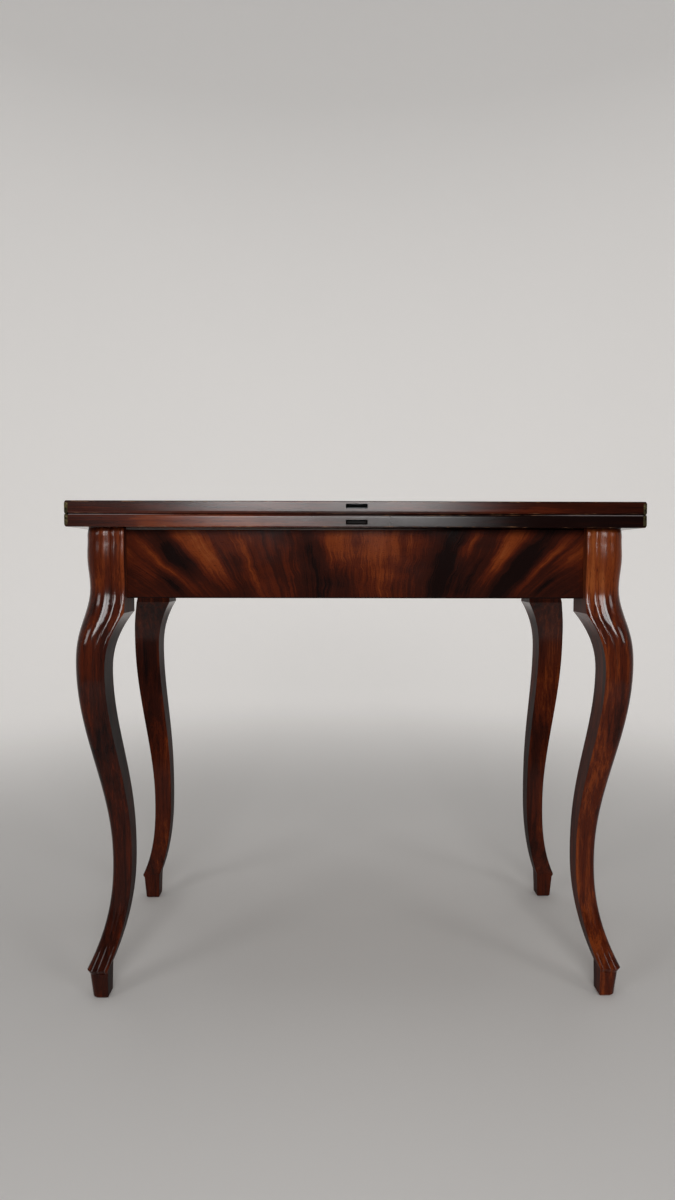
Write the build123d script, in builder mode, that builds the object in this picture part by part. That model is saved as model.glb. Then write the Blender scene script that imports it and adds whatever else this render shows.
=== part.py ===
from build123d import *
import os
from math import cos, pi, radians, sin

# Mahogany games table: two hinged leaves lie one on the other on a frame with four cabriole legs.
# The top swivels a quarter turn on an off-centre bolt, and the upper leaf then unfolds.
# Origin on the floor below the middle of the closed top, X along the top, -Y the hinge edge, +Z up.
os.makedirs("parts", exist_ok=True)

# Driving sizes of the top
leaf_length = 850
leaf_depth = 425
leaf_thickness = 19
leaf_gap = 0.3
top_lift = 0.3
far_arris = 3
hinge_outer_arris = 1.5
plan_corner = 9

# Driving sizes of the frame
frame_height = 717.5
rail_depth = 105
rail_thickness = 21
veneer_thickness = 1
stile_block_below_rail = 22
leg_overhang = 6.2
rail_setback = 21.5
overrun = 1

# Cabriole leg: heights above the floor, drops below the frame's top, reaches from the stile's inner faces
toe_height = 46
toe_reach = 64
ankle_height = 203
ankle_reach = 31.8
knee_drop = 201.5
knee_reach = 74
neck_drop = 89.5
neck_reach = 57.8
swell_drop = 41.5
swell_reach = 61
stile_top_reach = 58.8
toe_inner_reach = 31
inner_ankle_height = 212
inner_ankle_reach = 0.4
hollow_drop = 215.5
hollow_reach = 27
toe_flare = 2.4
toe_inner_flare = 2.2
knee_lean = 1.3
calf_lean = 1.15
hollow_roundness = 2.2
shin_steps = 6
calf_steps = 8
knee_steps = 6
block_steps = 4
stile_steps = 5

# Beads worked along the two outer faces of the leg, measured from the face's inner edge.
# They start to bend outwards above the stile's block and follow the inner edge from below it.
bead_strip = 0.4
bead_lead = 27
bead_tail = 20
arris = 0.8
inner_bead_end = 6.4
bead_depth = 1.1
outer_bead_start = 10.4
roll_start = 16.2
outer_bead_spread_share = 0.08
roll_spread_share = 0.13
slim_section = 31
roll_wrap = 25

# Foot pad below the toe
pad_height = 39.5
pad_top_reach = 60.5
pad_top_inner_reach = 31.2
pad_sole_reach = 57
pad_sole_inner_reach = 32
pad_corner = 10
pad_inner_corner = 2
pad_sole_chamfer = 2.5

# Mortise and tenon joints between rails and stiles
tenon_thickness = 8
tenon_length = 26
tenon_shoulder = 10
mortise_relief = 1

# Glue blocks in the corners
glue_block_side = 20
glue_block_length = 62
glue_block_drop = 14

# Pivot rail, its bolt and the plates
pivot_rail_width = 54
pivot_rail_depth = 22
pivot_rail_housing = 12
bolt_radius = 8
bolt_head_radius = 14
bolt_head_depth = 4
bolt_run = 0.05
bolt_hole_clearance = 1
bolt_end_below_nut = 3
plate_thickness = 3
pivot_plate_length = 90
pivot_plate_width = 60
plate_corner = 4
bearing_plate_length = 76
bearing_plate_width = 44
washer_radius = 13
washer_thickness = 2
nut_width = 20
nut_depth = 10
nut_run = 0.3

# Stop peg
peg_radius = 8
peg_clearance = 0.5
peg_drop = 24
peg_socket = 9
peg_tip_chamfer = 1.5

# Card well
well_lift = 2
runner_height = 10
runner_width = 10
well_board_thickness = 7
partition_thickness = 12
well_board_play = 0.5

# Baize fields
baize_border = 45
baize_hinge_border = 8
baize_recess = 1.3
baize_thickness = 1
baize_corner = 6

# Strap hinges let into the ends of the leaves
pin_inset = 4
pin_radius = 1.5
pin_run = 0.05
strap_length = 62
strap_cover = 3
strap_thickness = 5
strap_far_corner = 4
strap_slot = 1.9
strap_slot_play = 0.4
link_thickness = 1.5
link_radius = 3.6

# Tongue and its mortises in the hinge edges
mortise_width = 32
mortise_height = 7.2
mortise_depth = 36
mortise_centre = 11.5
mortise_corner = 1.2
tongue_play = 0.4
tongue_length = 29
tongue_recess = 4
tongue_nose = 2.6

# Screws
plate_screw_head = 4
plate_screw_shank = 1.8
plate_screw_length = 12
plate_screw_inset = 9
strap_screw_head = 3.2
strap_screw_shank = 1.4
strap_screw_length = 20
strap_screw_places_share = (0.45, 0.82)
driver_slot_width = 0.7
driver_slot_depth = 0.8

# Places worked out from the driving sizes
stile_x = leaf_length / 2 - leg_overhang - knee_reach
stile_y = leaf_depth / 2 - leg_overhang - knee_reach
rail_bottom = frame_height - rail_depth
knee_height = frame_height - knee_drop
neck_height = frame_height - neck_drop
swell_height = frame_height - swell_drop
hollow_height = frame_height - hollow_drop
block_height = rail_bottom - stile_block_below_rail
front_core_inner = stile_y + rail_setback
front_core_outer = front_core_inner + rail_thickness
side_core_inner = stile_x + rail_setback
side_core_outer = side_core_inner + rail_thickness
pivot_x = -leaf_depth / 4
pivot_y = -leaf_depth / 4
pivot_rail_right = pivot_x + pivot_rail_width / 2
pivot_rail_left = pivot_x - pivot_rail_width / 2
pivot_rail_bottom = frame_height - pivot_rail_depth
lower_bottom = frame_height + top_lift
joint_low = lower_bottom + leaf_thickness
joint_high = joint_low + leaf_gap
hinge_edge = -leaf_depth / 2
pin_y = hinge_edge + pin_inset
strap_height = leaf_thickness - strap_cover
tenon_low = rail_bottom + tenon_shoulder
tenon_high = frame_height - tenon_shoulder


def save(piece, name):
    piece.part.label = name
    export_step(piece.part, f"parts/{name}.step")


def ease(share):
    return (1 - cos(pi * share)) / 2


def share_between(height, low, high):
    return (height - low) / (high - low)


def outer_reach(height):
    if height < ankle_height:
        share = share_between(height, ankle_height, toe_height)
        return ankle_reach + (toe_reach - ankle_reach) * share**toe_flare
    if height < knee_height:
        share = share_between(height, ankle_height, knee_height)
        return ankle_reach + (knee_reach - ankle_reach) * ease(share)
    if height < neck_height:
        share = share_between(height, knee_height, neck_height)
        return knee_reach + (neck_reach - knee_reach) * ease(share**knee_lean)
    if height < swell_height:
        share = share_between(height, neck_height, swell_height)
        return neck_reach + (swell_reach - neck_reach) * ease(share)
    share = share_between(height, swell_height, frame_height)
    return swell_reach + (stile_top_reach - swell_reach) * share**2


def inner_reach(height):
    if height < inner_ankle_height:
        share = share_between(height, inner_ankle_height, toe_height)
        return inner_ankle_reach + (toe_inner_reach - inner_ankle_reach) * share**toe_inner_flare
    if height < hollow_height:
        share = share_between(height, inner_ankle_height, hollow_height)
        return inner_ankle_reach + (hollow_reach - inner_ankle_reach) * ease(share**calf_lean)
    if height < block_height:
        share = share_between(height, hollow_height, block_height)
        return hollow_reach * (1 - share**hollow_roundness)
    return 0


def bead_edge(height):
    bend_start = block_height + bead_lead
    bend_end = block_height - bead_tail
    if height >= bend_start:
        return bead_strip
    if height <= bend_end:
        return inner_reach(height) + bead_strip
    share = share_between(height, bend_start, bend_end)
    return inner_reach(bend_end) * share**2 + bead_strip


def face_points(low, bead_low, high):
    # One outer face of a leg, from its inner edge to the corner roll: flat strip, bead, cove, bead, roll
    width = high - bead_low
    outer_bead = bead_low + outer_bead_start + outer_bead_spread_share * (width - slim_section)
    roll = bead_low + roll_start + roll_spread_share * (width - slim_section)
    radius = (high - roll) / (1 + sin(radians(roll_wrap)))
    centre = high - radius
    roll_edge = centre + radius * cos(radians(roll_wrap))
    inner_bead = bead_low + inner_bead_end
    return {
        "edge": (low, high - arris),
        "bead_start": (bead_low, high - arris),
        "crest": ((bead_low + inner_bead) / 2, high),
        "bead_end": (inner_bead, high - bead_depth),
        "cove_end": (outer_bead, high - bead_depth),
        "bead_crest": ((outer_bead + roll) / 2, high - arris / 2),
        "roll_start": (roll, roll_edge),
        "roll_middle": centre + radius * cos(radians(45)),
    }


def flip(point):
    return (point[1], point[0])


def leg_section(plane, height, low, bead_low, high):
    # Square stock section with beads on the two outer faces and a wide roll at the outer corner
    p = face_points(low, bead_low, high)
    with BuildSketch(plane.offset(height)) as section:
        with BuildLine():
            Line((low, low), p["edge"])
            Line(p["edge"], p["bead_start"])
            ThreePointArc(p["bead_start"], p["crest"], p["bead_end"])
            Line(p["bead_end"], p["cove_end"])
            ThreePointArc(p["cove_end"], p["bead_crest"], p["roll_start"])
            ThreePointArc(p["roll_start"], (p["roll_middle"], p["roll_middle"]), flip(p["roll_start"]))
            ThreePointArc(flip(p["roll_start"]), flip(p["bead_crest"]), flip(p["cove_end"]))
            Line(flip(p["cove_end"]), flip(p["bead_end"]))
            ThreePointArc(flip(p["bead_end"]), flip(p["crest"]), flip(p["bead_start"]))
            Line(flip(p["bead_start"]), flip(p["edge"]))
            Line(flip(p["edge"]), (low, low))
        make_face()
    return section.sketch


def pad_section(plane, height, low, high, inset):
    side = high - low - 2 * inset
    middle = (low + high) / 2
    with BuildSketch(plane.offset(height)) as section:
        with Locations((middle, middle)):
            Rectangle(side, side)
        corners = section.vertices().sort_by(lambda v: v.X + v.Y)
        fillet(corners[-1], pad_corner - inset)
        fillet(corners[0], pad_inner_corner)
    return section.sketch


def heights(low, high, steps):
    return [low + (high - low) * step / steps for step in range(steps + 1)]


def make_leg(corner_x, corner_y, outward):
    plane = Plane(origin=(corner_x, corner_y, 0), x_dir=outward, z_dir=(0, 0, 1))
    shin = heights(toe_height, ankle_height, shin_steps)
    calf = heights(ankle_height, knee_height, calf_steps)[1:]
    knee = heights(knee_height, block_height, knee_steps)[1:]
    block = heights(block_height, neck_height, block_steps)
    stile = heights(neck_height, frame_height, stile_steps)[1:]
    with BuildPart() as leg:
        loft([leg_section(plane, z, inner_reach(z), bead_edge(z), outer_reach(z)) for z in shin + calf + knee])
        loft([leg_section(plane, z, 0, bead_edge(z), outer_reach(z)) for z in block + stile])
        toe = leg_section(plane, toe_height, toe_inner_reach, toe_inner_reach + bead_strip, toe_reach)
        under_bead = pad_top_inner_reach + bead_strip
        toe_under = leg_section(plane, pad_height, pad_top_inner_reach, under_bead, pad_top_reach)
        loft([toe, toe_under], ruled=True)
        pad_top = pad_section(plane, pad_height, pad_top_inner_reach, pad_top_reach, 0)
        pad_foot = pad_section(plane, pad_sole_chamfer, pad_sole_inner_reach, pad_sole_reach, 0)
        sole = pad_section(plane, 0, pad_sole_inner_reach, pad_sole_reach, pad_sole_chamfer)
        loft([pad_top, pad_foot, sole], ruled=True)
        # Mortises for the two rails that meet in this leg
        mortise_length = tenon_length + mortise_relief
        tenon_middle = rail_setback + rail_thickness / 2
        with BuildSketch(plane.offset(tenon_low)):
            with Locations((mortise_length / 2, tenon_middle)):
                Rectangle(mortise_length, tenon_thickness)
            with Locations((tenon_middle, mortise_length / 2)):
                Rectangle(tenon_thickness, mortise_length)
        extrude(amount=tenon_high - tenon_low, mode=Mode.SUBTRACT)
    return leg


leg_places = {
    "leg_front_left": (-stile_x, -stile_y, (-1, 0, 0)),
    "leg_front_right": (stile_x, -stile_y, (0, -1, 0)),
    "leg_back_right": (stile_x, stile_y, (1, 0, 0)),
    "leg_back_left": (-stile_x, stile_y, (0, 1, 0)),
}
for leg_name, (corner_x, corner_y, outward) in leg_places.items():
    save(make_leg(corner_x, corner_y, outward), leg_name)


def box_between(low, high, mode=Mode.ADD):
    middle = [(a + b) / 2 for a, b in zip(low, high)]
    size = [b - a for a, b in zip(low, high)]
    with Locations(tuple(middle)):
        Box(*size, mode=mode)


# Rails: pine cores tenoned into the stiles, with the pivot rail housed in the front and back ones
for side, name in ((-1, "front"), (1, "back")):
    inner = side * front_core_inner
    outer = side * front_core_outer
    tenon_low_y = side * (front_core_inner + (rail_thickness - tenon_thickness) / 2)
    tenon_high_y = tenon_low_y + side * tenon_thickness
    housing_end = inner + side * pivot_rail_housing
    with BuildPart() as rail:
        box_between(
            (-stile_x, min(inner, outer), rail_bottom),
            (stile_x, max(inner, outer), frame_height),
        )
        box_between(
            (-stile_x - tenon_length, min(tenon_low_y, tenon_high_y), tenon_low),
            (stile_x + tenon_length, max(tenon_low_y, tenon_high_y), tenon_high),
        )
        box_between(
            (pivot_rail_left, min(inner - side * overrun, housing_end), pivot_rail_bottom),
            (pivot_rail_right, max(inner - side * overrun, housing_end), frame_height + overrun),
            mode=Mode.SUBTRACT,
        )
    save(rail, f"rail_{name}")
    veneer_outer = outer + side * veneer_thickness
    with BuildPart() as veneer:
        box_between(
            (-stile_x, min(outer, veneer_outer), rail_bottom),
            (stile_x, max(outer, veneer_outer), frame_height),
        )
    save(veneer, f"veneer_{name}")

for side, name in ((-1, "left"), (1, "right")):
    inner = side * side_core_inner
    outer = side * side_core_outer
    tenon_low_x = side * (side_core_inner + (rail_thickness - tenon_thickness) / 2)
    tenon_high_x = tenon_low_x + side * tenon_thickness
    with BuildPart() as rail:
        box_between(
            (min(inner, outer), -stile_y, rail_bottom),
            (max(inner, outer), stile_y, frame_height),
        )
        box_between(
            (min(tenon_low_x, tenon_high_x), -stile_y - tenon_length, tenon_low),
            (max(tenon_low_x, tenon_high_x), stile_y + tenon_length, tenon_high),
        )
    save(rail, f"rail_{name}")
    veneer_outer = outer + side * veneer_thickness
    with BuildPart() as veneer:
        box_between(
            (min(outer, veneer_outer), -stile_y, rail_bottom),
            (max(outer, veneer_outer), stile_y, frame_height),
        )
    save(veneer, f"veneer_{name}")

# Glue blocks in the eight angles between rails and stiles
glue_top = frame_height - glue_block_drop
glue_middle_z = glue_top - glue_block_length / 2
half_block = glue_block_side / 2
with BuildPart() as glue_blocks:
    for side_x in (-1, 1):
        for side_y in (-1, 1):
            block_places = (
                (side_x * (stile_x - half_block), side_y * (front_core_inner - half_block), glue_middle_z),
                (side_x * (side_core_inner - half_block), side_y * (stile_y - half_block), glue_middle_z),
            )
            with Locations(*block_places):
                Box(glue_block_side, glue_block_side, glue_block_length)
save(glue_blocks, "glue_blocks")


def make_screw(head, shank, length, slotted):
    # Countersunk screw standing under its head, which lies in the XY plane
    head_depth = head - shank
    with BuildPart() as screw:
        with BuildSketch(Plane.XZ):
            with BuildLine():
                corners = ((0, 0), (head, 0), (shank, -head_depth), (shank, -length), (0, -length))
                Polyline(*corners, close=True)
            make_face()
        revolve(axis=Axis.Z)
        if slotted:
            with Locations((0, 0, -driver_slot_depth / 2)):
                Box(2 * head, driver_slot_width, driver_slot_depth, mode=Mode.SUBTRACT)
    return screw.part


plate_screw = make_screw(plate_screw_head, plate_screw_shank, plate_screw_length, True)
plate_screw_cutter = make_screw(plate_screw_head, plate_screw_shank, plate_screw_length, False)
strap_screw = make_screw(strap_screw_head, strap_screw_shank, strap_screw_length, True)
strap_screw_cutter = make_screw(strap_screw_head, strap_screw_shank, strap_screw_length, False)


def screw_corners(length, width, height, facing):
    reach_x = width / 2 - plate_screw_inset
    reach_y = length / 2 - plate_screw_inset
    places = []
    for side_x in (-1, 1):
        for side_y in (-1, 1):
            at = (pivot_x + side_x * reach_x, pivot_y + side_y * reach_y, height)
            places.append(Location(Plane(origin=at, x_dir=(1, 0, 0), z_dir=(0, 0, facing))))
    return places


bearing_screw_places = screw_corners(bearing_plate_length, bearing_plate_width, frame_height, 1)
pivot_screw_places = screw_corners(pivot_plate_length, pivot_plate_width, lower_bottom, -1)

# Pivot rail with the bearing plate let into its top edge
with BuildPart() as pivot_rail:
    housed_reach = front_core_inner + pivot_rail_housing
    box_between(
        (pivot_rail_left, -housed_reach, pivot_rail_bottom),
        (pivot_rail_right, housed_reach, frame_height),
    )
    with BuildSketch(Plane.XY.offset(frame_height - plate_thickness)):
        with Locations((pivot_x, pivot_y)):
            RectangleRounded(bearing_plate_width, bearing_plate_length, plate_corner)
    extrude(amount=plate_thickness + overrun, mode=Mode.SUBTRACT)
    with Locations((pivot_x, pivot_y, frame_height)):
        Hole(bolt_radius + bolt_hole_clearance, depth=pivot_rail_depth + overrun)
    with Locations(*bearing_screw_places):
        add(plate_screw_cutter, mode=Mode.SUBTRACT)
save(pivot_rail, "pivot_rail")

with BuildPart() as bearing_plate:
    with BuildSketch(Plane.XY.offset(frame_height - plate_thickness)):
        with Locations((pivot_x, pivot_y)):
            RectangleRounded(bearing_plate_width, bearing_plate_length, plate_corner)
            Circle(bolt_radius + bolt_run, mode=Mode.SUBTRACT)
    extrude(amount=plate_thickness)
    with Locations(*bearing_screw_places):
        add(plate_screw_cutter, mode=Mode.SUBTRACT)
save(bearing_plate, "bearing_plate")

with BuildPart() as bearing_plate_screws:
    with Locations(*bearing_screw_places):
        add(plate_screw)
save(bearing_plate_screws, "bearing_plate_screws")

# Card well: partition under the pivot rail, runners round the sides and a thin bottom board
well_bottom_low = rail_bottom + well_lift + runner_height
partition_left = pivot_rail_right - partition_thickness
with BuildPart() as well_partition:
    box_between(
        (partition_left, -front_core_inner, rail_bottom + well_lift),
        (pivot_rail_right, front_core_inner, pivot_rail_bottom),
    )
save(well_partition, "well_partition")

runner_low = rail_bottom + well_lift
runner_reach = front_core_inner - runner_width
runner_corners = {
    "front": ((pivot_rail_right, -front_core_inner), (stile_x, -runner_reach)),
    "back": ((pivot_rail_right, runner_reach), (stile_x, front_core_inner)),
    "left": ((pivot_rail_right, -runner_reach), (pivot_rail_right + runner_width, runner_reach)),
    "right": ((side_core_inner - runner_width, -stile_y), (side_core_inner, stile_y)),
}
for name, (near, far) in runner_corners.items():
    with BuildPart() as well_runner:
        box_between((*near, runner_low), (*far, well_bottom_low))
    save(well_runner, f"well_runner_{name}")

with BuildPart() as well_bottom:
    box_between(
        (pivot_rail_right, -front_core_inner, well_bottom_low),
        (side_core_inner, front_core_inner, well_bottom_low + well_board_thickness),
    )
    for side in (-1, 1):
        notch_near = side * (stile_y - well_board_play)
        notch_far = side * (front_core_inner + overrun)
        box_between(
            (stile_x - well_board_play, min(notch_near, notch_far), well_bottom_low - overrun),
            (
                side_core_inner + overrun,
                max(notch_near, notch_far),
                well_bottom_low + well_board_thickness + overrun,
            ),
            mode=Mode.SUBTRACT,
        )
save(well_bottom, "well_bottom")

# Swivel: iron plate under the lower leaf, bolt with its head let into the leaf, washer and nut
plate_top = lower_bottom + plate_thickness
washer_top = pivot_rail_bottom - nut_run
nut_top = washer_top - washer_thickness
nut_bottom = nut_top - nut_depth
with BuildPart() as pivot_plate:
    with BuildSketch(Plane.XY.offset(lower_bottom)):
        with Locations((pivot_x, pivot_y)):
            RectangleRounded(pivot_plate_width, pivot_plate_length, plate_corner)
            Circle(bolt_radius, mode=Mode.SUBTRACT)
    extrude(amount=plate_thickness)
    with Locations(*pivot_screw_places):
        add(plate_screw_cutter, mode=Mode.SUBTRACT)
save(pivot_plate, "pivot_plate")

with BuildPart() as pivot_plate_screws:
    with Locations(*pivot_screw_places):
        add(plate_screw)
save(pivot_plate_screws, "pivot_plate_screws")

with BuildPart() as pivot_bolt:
    with BuildSketch(Plane.XY.offset(plate_top)):
        with Locations((pivot_x, pivot_y)):
            Circle(bolt_head_radius)
    extrude(amount=bolt_head_depth)
    with BuildSketch(Plane.XY.offset(nut_bottom - bolt_end_below_nut)):
        with Locations((pivot_x, pivot_y)):
            Circle(bolt_radius)
    extrude(until=Until.NEXT)
save(pivot_bolt, "pivot_bolt")

with BuildPart() as pivot_washer:
    with BuildSketch(Plane.XY.offset(nut_top)):
        with Locations((pivot_x, pivot_y)):
            Circle(washer_radius)
            Circle(bolt_radius, mode=Mode.SUBTRACT)
    extrude(amount=washer_thickness)
save(pivot_washer, "pivot_washer")

with BuildPart() as pivot_nut:
    with BuildSketch(Plane.XY.offset(nut_bottom)):
        with Locations((pivot_x, pivot_y)):
            RegularPolygon(nut_width / 2, 6, major_radius=False)
            Circle(bolt_radius, mode=Mode.SUBTRACT)
    extrude(amount=nut_depth)
save(pivot_nut, "pivot_nut")

# Stop peg: meets the front rail when the top is closed up and the back rail after a quarter turn
peg_reach = front_core_inner - peg_radius - peg_clearance
with BuildPart() as stop_peg:
    with BuildSketch(Plane.XY.offset(lower_bottom - peg_drop)):
        with Locations((peg_reach, -peg_reach)):
            Circle(peg_radius)
    extrude(amount=peg_drop + peg_socket)
    chamfer(stop_peg.edges().sort_by(Axis.Z)[0], peg_tip_chamfer)
save(stop_peg, "stop_peg")

# Strap hinges: each leaf has one strap let into each end, forked round a link on two pins
slot_reach = pin_inset + strap_slot_play


def leaf_side(lower):
    # Inner face height and the direction from it into the leaf
    return (joint_low, -1) if lower else (joint_high, 1)


def strap_start(side):
    return side * leaf_length / 2 - (strap_thickness if side > 0 else 0)


def strap_outline(plane_x, lower):
    # Strap seen along X, its hinge corner rounded about the pin
    face_z, into = leaf_side(lower)
    middle = (hinge_edge + strap_length / 2, face_z + into * strap_height / 2)
    with BuildSketch(Plane.YZ.offset(plane_x)) as outline:
        with Locations(middle):
            Rectangle(strap_length, strap_height)
        hinge_corners = outline.vertices().sort_by(Axis.X)[:2]
        fillet(hinge_corners.sort_by(lambda v: abs(v.Y - face_z))[0], pin_inset)
        fillet(outline.vertices().sort_by(Axis.X)[-2:], strap_far_corner)
    return outline.sketch


def strap_screw_places(side, lower):
    face_z, into = leaf_side(lower)
    places = []
    for share in strap_screw_places_share:
        at = (side * leaf_length / 2, hinge_edge + share * strap_length, face_z + into * strap_height / 2)
        places.append(Location(Plane(origin=at, x_dir=(0, 1, 0), z_dir=(side, 0, 0))))
    return places


def pin_height(lower):
    face_z, into = leaf_side(lower)
    return face_z + into * pin_inset


def make_strap(side, lower):
    face_z, into = leaf_side(lower)
    start_x = strap_start(side)
    slot_middle_x = start_x + strap_thickness / 2
    slot_end_z = pin_height(lower) + into * slot_reach
    slot_mouth_z = face_z - into * overrun
    with BuildPart() as strap:
        extrude(strap_outline(start_x, lower), amount=strap_thickness)
        box_between(
            (slot_middle_x - strap_slot / 2, hinge_edge - overrun, min(slot_end_z, slot_mouth_z)),
            (slot_middle_x + strap_slot / 2, pin_y + slot_reach, max(slot_end_z, slot_mouth_z)),
            mode=Mode.SUBTRACT,
        )
        with BuildSketch(Plane.YZ.offset(start_x)):
            with Locations((pin_y, pin_height(lower))):
                Circle(pin_radius)
        extrude(amount=strap_thickness, mode=Mode.SUBTRACT)
        with Locations(*strap_screw_places(side, lower)):
            add(strap_screw_cutter, mode=Mode.SUBTRACT)
    return strap


for lower, leaf_name in ((True, "lower"), (False, "upper")):
    for side, side_name in ((-1, "left"), (1, "right")):
        save(make_strap(side, lower), f"hinge_strap_{leaf_name}_{side_name}")
    with BuildPart() as hinge_pins:
        for side in (-1, 1):
            with BuildSketch(Plane.YZ.offset(strap_start(side))):
                with Locations((pin_y, pin_height(lower))):
                    Circle(pin_radius)
            extrude(amount=strap_thickness)
    save(hinge_pins, f"{leaf_name}_hinge_pins")
    with BuildPart() as strap_screws:
        with Locations(*strap_screw_places(-1, lower), *strap_screw_places(1, lower)):
            add(strap_screw)
    save(strap_screws, f"{leaf_name}_strap_screws")

pin_span = pin_height(False) - pin_height(True)
pin_middle = (pin_height(False) + pin_height(True)) / 2
for side, side_name in ((-1, "left"), (1, "right")):
    link_start = side * (leaf_length / 2 - strap_thickness / 2) - link_thickness / 2
    with BuildPart() as hinge_link:
        with BuildSketch(Plane.YZ.offset(link_start)):
            with Locations((pin_y, pin_middle)):
                SlotCenterToCenter(pin_span, 2 * link_radius, rotation=90)
            with Locations((pin_y, pin_height(True)), (pin_y, pin_height(False))):
                Circle(pin_radius + pin_run, mode=Mode.SUBTRACT)
        extrude(amount=link_thickness)
    save(hinge_link, f"hinge_link_{side_name}")


def make_leaf(lower):
    face_z, into = leaf_side(lower)
    outer_z = face_z + into * leaf_thickness
    bottom = min(face_z, outer_z)
    with BuildPart() as leaf:
        with BuildSketch(Plane.XY.offset(bottom)) as plan:
            Rectangle(leaf_length, leaf_depth)
            fillet(plan.vertices().group_by(Axis.Y)[-1], plan_corner)
        extrude(amount=leaf_thickness)
        outer_edges = leaf.edges().filter_by_position(Axis.Z, outer_z, outer_z)
        fillet(outer_edges.sort_by(Axis.Y)[1:], far_arris)
        hinge_line = leaf.edges().filter_by(Axis.X).filter_by_position(Axis.Z, outer_z, outer_z)
        fillet(hinge_line.sort_by(Axis.Y)[0], hinge_outer_arris)
        # Rolling corner concentric with the hinge pins
        with BuildSketch(Plane.YZ.offset(-leaf_length / 2 - overrun)):
            with BuildLine():
                corner = (hinge_edge, face_z)
                roll_bottom = (hinge_edge, face_z + into * pin_inset)
                roll_top = (pin_y, face_z)
                diagonal = pin_inset * cos(radians(45))
                roll_middle = (pin_y - diagonal, pin_height(lower) - into * diagonal)
                Line(corner, roll_bottom)
                ThreePointArc(roll_bottom, roll_middle, roll_top)
                Line(roll_top, corner)
            make_face()
        extrude(amount=leaf_length + 2 * overrun, mode=Mode.SUBTRACT)
        # Field for the baize
        field_length = leaf_length - 2 * baize_border
        field_depth = leaf_depth - baize_border - baize_hinge_border
        field_middle_y = (baize_hinge_border - baize_border) / 2
        with BuildSketch(Plane.XY.offset(min(face_z, face_z + into * baize_recess))):
            with Locations((0, field_middle_y)):
                RectangleRounded(field_length, field_depth, baize_corner)
        extrude(amount=baize_recess, mode=Mode.SUBTRACT)
        # Mortise for the tongue in the hinge edge
        with BuildSketch(Plane.XZ.offset(-hinge_edge)):
            with Locations((0, face_z + into * mortise_centre)):
                RectangleRounded(mortise_width, mortise_height, mortise_corner)
        extrude(amount=-mortise_depth, mode=Mode.SUBTRACT)
        # Seats and screw holes of the two straps
        for side in (-1, 1):
            outline = strap_outline(strap_start(side), lower)
            extrude(outline, amount=strap_thickness, mode=Mode.SUBTRACT)
            with Locations(*strap_screw_places(side, lower)):
                add(strap_screw_cutter, mode=Mode.SUBTRACT)
        if lower:
            with BuildSketch(Plane.XY.offset(lower_bottom)):
                with Locations((pivot_x, pivot_y)):
                    RectangleRounded(pivot_plate_width, pivot_plate_length, plate_corner)
            extrude(amount=plate_thickness, mode=Mode.SUBTRACT)
            with BuildSketch(Plane.XY.offset(lower_bottom)):
                with Locations((pivot_x, pivot_y)):
                    Circle(bolt_head_radius)
            extrude(amount=plate_thickness + bolt_head_depth, mode=Mode.SUBTRACT)
            with BuildSketch(Plane.XY.offset(lower_bottom)):
                with Locations((peg_reach, -peg_reach)):
                    Circle(peg_radius)
            extrude(amount=peg_socket, mode=Mode.SUBTRACT)
            with Locations(*pivot_screw_places):
                add(plate_screw_cutter, mode=Mode.SUBTRACT)
    baize_bottom = face_z + into * baize_recess
    with BuildPart() as baize:
        with BuildSketch(Plane.XY.offset(min(baize_bottom, baize_bottom - into * baize_thickness))):
            with Locations((0, field_middle_y)):
                RectangleRounded(field_length, field_depth, baize_corner)
        extrude(amount=baize_thickness)
    return leaf, baize


for lower, leaf_name in ((True, "lower"), (False, "upper")):
    leaf, baize = make_leaf(lower)
    save(leaf, f"{leaf_name}_leaf")
    save(baize, f"{leaf_name}_baize")

# Tongue that slides out of the lower leaf to line up the open leaves
tongue_width = mortise_width - 2 * tongue_play
tongue_height = mortise_height - 2 * tongue_play
tongue_front = hinge_edge + tongue_recess
with BuildPart() as alignment_tongue:
    with BuildSketch(Plane.XZ.offset(-tongue_front)):
        with Locations((0, joint_low - mortise_centre)):
            RectangleRounded(tongue_width, tongue_height, mortise_corner)
    extrude(amount=-tongue_length)
    nose = alignment_tongue.faces().sort_by(Axis.Y)[0]
    fillet(nose.edges().group_by(SortBy.LENGTH)[-1], tongue_nose)
save(alignment_tongue, "alignment_tongue")
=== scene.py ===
import math
import random

import bpy
from mathutils import Matrix, Vector


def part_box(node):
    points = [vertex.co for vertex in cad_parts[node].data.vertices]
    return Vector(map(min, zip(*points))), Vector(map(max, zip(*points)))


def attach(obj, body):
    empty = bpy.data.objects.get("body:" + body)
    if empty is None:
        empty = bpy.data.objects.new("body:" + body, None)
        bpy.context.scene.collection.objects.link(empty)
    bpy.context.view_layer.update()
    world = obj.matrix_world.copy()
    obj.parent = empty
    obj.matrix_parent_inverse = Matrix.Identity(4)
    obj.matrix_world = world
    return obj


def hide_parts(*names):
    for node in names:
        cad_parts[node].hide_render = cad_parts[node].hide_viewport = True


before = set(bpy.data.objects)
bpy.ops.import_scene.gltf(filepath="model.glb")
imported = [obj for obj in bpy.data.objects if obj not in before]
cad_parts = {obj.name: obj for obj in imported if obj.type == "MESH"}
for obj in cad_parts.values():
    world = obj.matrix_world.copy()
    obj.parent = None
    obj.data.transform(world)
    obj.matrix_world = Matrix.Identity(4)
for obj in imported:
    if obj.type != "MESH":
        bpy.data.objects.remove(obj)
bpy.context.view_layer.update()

# Camera, found from the outlines of the photographed table: pixels, millimetres, metres and radians
photo_height = 1200
focal_pixels = 765.66
sensor_long_side = 36
camera_place = (-0.0410, -1.3327, 0.6659)
camera_pitch = 0.0484
camera_yaw = 0.0117
camera_roll = 0.0019
camera_near = 0.05
camera_far = 50

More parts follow.
